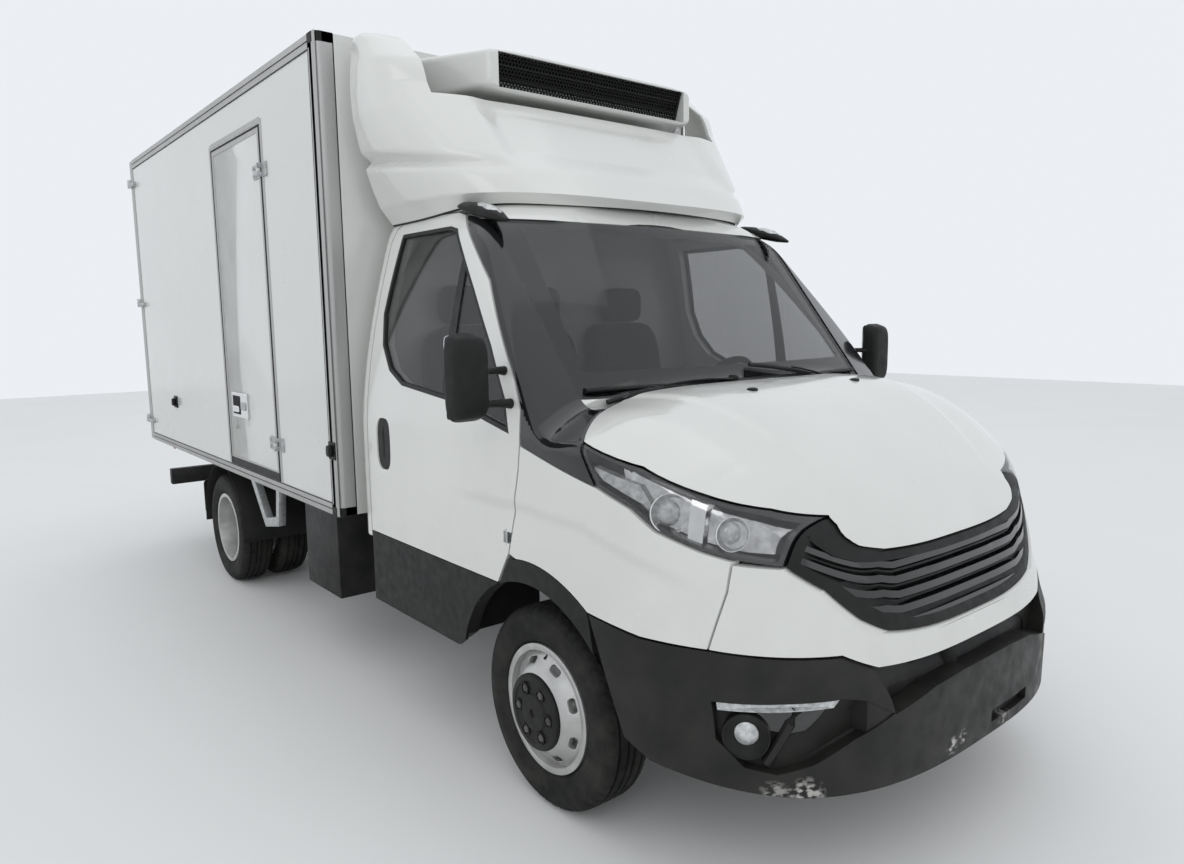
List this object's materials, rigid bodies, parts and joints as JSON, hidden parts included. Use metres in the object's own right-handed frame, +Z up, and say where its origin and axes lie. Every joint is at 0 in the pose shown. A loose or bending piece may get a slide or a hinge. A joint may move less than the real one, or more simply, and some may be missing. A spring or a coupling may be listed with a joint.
{
  "type": "refrigerated box truck",
  "caption": "Light refrigerated truck: bonneted cab, ladder frame on twin rear wheels, insulated load body with side and rear doors, and a cooling unit above the cab.",
  "frame": {"origin": "on the ground at the middle of the length and width", "axes": "+X towards the front bumper, +Y to the vehicle's left, +Z up"},
  "size_m": [6.002, 2.4428, 2.86],
  "materials": {
    "white_paint": "glossy white paint over steel and moulded shells",
    "white_grp": "smooth white glass-fibre facing over insulated panels",
    "black_plastic": "unpainted grained black plastic, scuffed on the bumper",
    "black_gloss": "black gloss trim",
    "chassis_black": "black frame paint, dusty",
    "cast_steel": "cast and forged running gear",
    "aluminium_trim": "satin extruded aluminium",
    "galvanised": "zinc-plated steel",
    "silver_rim": "silver-painted pressed steel wheel",
    "tyre_rubber": "black tyre rubber",
    "clear_glass": "clear tinted safety glass",
    "lamp_lens": "clear lamp cover over chromed reflectors",
    "red_lens": "red and amber lamp lens",
    "seat_fabric": "dark grey woven seat fabric under clear film",
    "dash_plastic": "dark grey grained dashboard"
  },
  "bodies": {
    "body": {"chassis_frame": "chassis_black", "bumper_beam": "chassis_black", "engine": "cast_steel", "front_suspension": "cast_steel", "rear_axle": "cast_steel", "springs": "cast_steel", "fuel_tank": "black_plastic", "exhaust": "galvanised", "side_locker": "black_plastic", "guard_brackets": "galvanised", "hinge_brackets": "galvanised", "arch_flares": "black_plastic", "underrun_bar": "chassis_black", "rear_lamps": "red_lens", "rear_mudguards": "black_plastic", "cab_shell": "white_paint", "windscreen": "clear_glass", "pillar_covers": "black_gloss", "front_wings": "white_paint", "front_panel": "white_paint", "front_bumper": "black_plastic", "grille": "black_plastic", "front_lamps": "lamp_lens", "dashboard": "dash_plastic", "steering_wheel": "black_plastic", "driver_seat": "seat_fabric", "passenger_seat": "seat_fabric", "roof_deflector": "white_paint", "box_floor": "galvanised", "box_roof": "white_grp", "box_front_wall": "white_grp", "box_side_walls": "white_grp", "box_rails": "aluminium_trim", "cooling_unit": "white_grp"},
    "door_left": {"door_left": "white_paint", "glass_left": "clear_glass", "mirror_left": "black_plastic"},
    "door_right": {"door_right": "white_paint", "glass_right": "clear_glass", "mirror_right": "black_plastic"},
    "bonnet": {"bonnet": "white_paint"},
    "side_door": {"side_door": "white_grp"},
    "rear_door_left": {"rear_door_left": "white_grp"},
    "rear_door_right": {"rear_door_right": "white_grp"},
    "knuckle_left": {"knuckle_left": "cast_steel"},
    "knuckle_right": {"knuckle_right": "cast_steel"},
    "front_wheel_left": {"front_tyre_left": "tyre_rubber", "front_rim_left": "silver_rim"},
    "front_wheel_right": {"front_tyre_right": "tyre_rubber", "front_rim_right": "silver_rim"},
    "rear_wheels_left": {"rear_tyres_left": "tyre_rubber", "rear_rims_left": "silver_rim"},
    "rear_wheels_right": {"rear_tyres_right": "tyre_rubber", "rear_rims_right": "silver_rim"}
  },
  "joints": [
    {"name": "door_left_hinge", "type": "hinge", "parent": "body", "child": "door_left", "pos_m": [1.821, 0.996, 1.03], "axis": [0, 0, -1], "range_deg": [0, 60]},
    {"name": "door_right_hinge", "type": "hinge", "parent": "body", "child": "door_right", "pos_m": [1.821, -0.996, 1.03], "axis": [0, 0, 1], "range_deg": [0, 60]},
    {"name": "bonnet_hinge", "type": "hinge", "parent": "body", "child": "bonnet", "pos_m": [2.031, 0, 1.36], "axis": [0, -1, 0], "range_deg": [0, 50]},
    {"name": "side_door_hinge", "type": "hinge", "parent": "body", "child": "side_door", "pos_m": [-0.129, -1.096, 1.7], "axis": [0, 0, 1], "range_deg": [0, 175]},
    {"name": "rear_door_left_hinge", "type": "hinge", "parent": "body", "child": "rear_door_left", "pos_m": [-2.984, 1.095, 1.8], "axis": [0, 0, -1], "range_deg": [0, 265]},
    {"name": "rear_door_right_hinge", "type": "hinge", "parent": "body", "child": "rear_door_right", "pos_m": [-2.984, -1.095, 1.8], "axis": [0, 0, 1], "range_deg": [0, 265]},
    {"name": "steer_left", "type": "hinge", "parent": "body", "child": "knuckle_left", "pos_m": [1.951, 0.7, 0.349], "axis": [0, 0, 1], "range_deg": [-35, 35]},
    {"name": "steer_right", "type": "hinge", "parent": "body", "child": "knuckle_right", "pos_m": [1.951, -0.7, 0.349], "axis": [0, 0, 1], "range_deg": [-35, 35]},
    {"name": "spin_front_left", "type": "hinge", "parent": "knuckle_left", "child": "front_wheel_left", "pos_m": [1.951, 0.862, 0.349], "axis": [0, 1, 0], "continuous": true},
    {"name": "spin_front_right", "type": "hinge", "parent": "knuckle_right", "child": "front_wheel_right", "pos_m": [1.951, -0.862, 0.349], "axis": [0, 1, 0], "continuous": true},
    {"name": "spin_rear_left", "type": "hinge", "parent": "body", "child": "rear_wheels_left", "pos_m": [-1.499, 0.775, 0.349], "axis": [0, 1, 0], "continuous": true},
    {"name": "spin_rear_right", "type": "hinge", "parent": "body", "child": "rear_wheels_right", "pos_m": [-1.499, -0.775, 0.349], "axis": [0, 1, 0], "continuous": true}
  ],
  "couplings": [
    {"joint": "steer_right", "follows": "steer_left", "ratio": 1}
  ]
}
